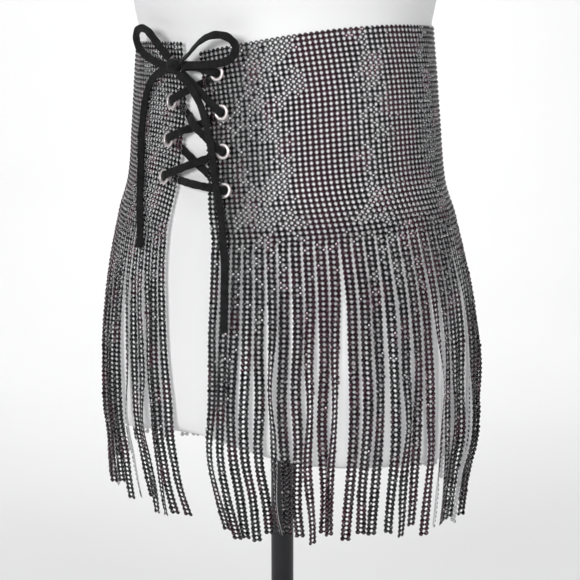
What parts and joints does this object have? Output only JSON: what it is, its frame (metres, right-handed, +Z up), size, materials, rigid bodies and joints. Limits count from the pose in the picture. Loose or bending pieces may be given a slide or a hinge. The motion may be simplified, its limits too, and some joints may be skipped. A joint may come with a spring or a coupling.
{
  "type": "fringe belt on a limbless dress form",
  "caption": "Hip belt of black faceted-stone mesh, laced at the front through eyelets, with long mesh strands, worn by a white limbless dress form on a pole stand.",
  "frame": {"origin": "centre of the underside of the stand's base plate", "axes": "+Z up along the pole, -Y out of the laced front, +X to the right of someone who faces the lacing"},
  "size_m": [0.33, 0.33, 0.967],
  "materials": {
    "black_stone_mesh": "glossy black faceted stones on a soft black net with a grey back",
    "suede_lace": "matt flat lace with a short nap",
    "nickel": "polished",
    "white_form": "satin white paint",
    "black_stand": "satin black powder coat"
  },
  "bodies": {
    "root": {"belt_band": "black_stone_mesh", "fringe": "black_stone_mesh", "eyelet_left_1": "nickel", "eyelet_left_2": "nickel", "eyelet_left_3": "nickel", "eyelet_left_4": "nickel", "eyelet_right_1": "nickel", "eyelet_right_2": "nickel", "eyelet_right_3": "nickel", "eyelet_right_4": "nickel", "lacing_top": "suede_lace", "lacing_second": "suede_lace", "lacing_1": "suede_lace", "lacing_2": "suede_lace", "lacing_3": "suede_lace", "lacing_4": "suede_lace", "lacing_5": "suede_lace", "lacing_6": "suede_lace", "lace_knot": "suede_lace", "loop_left": "suede_lace", "loop_right": "suede_lace", "tail_left": "suede_lace", "tail_right": "suede_lace", "dress_form": "white_form", "pole": "black_stand", "base_plate": "black_stand"}
  },
  "joints": []
}
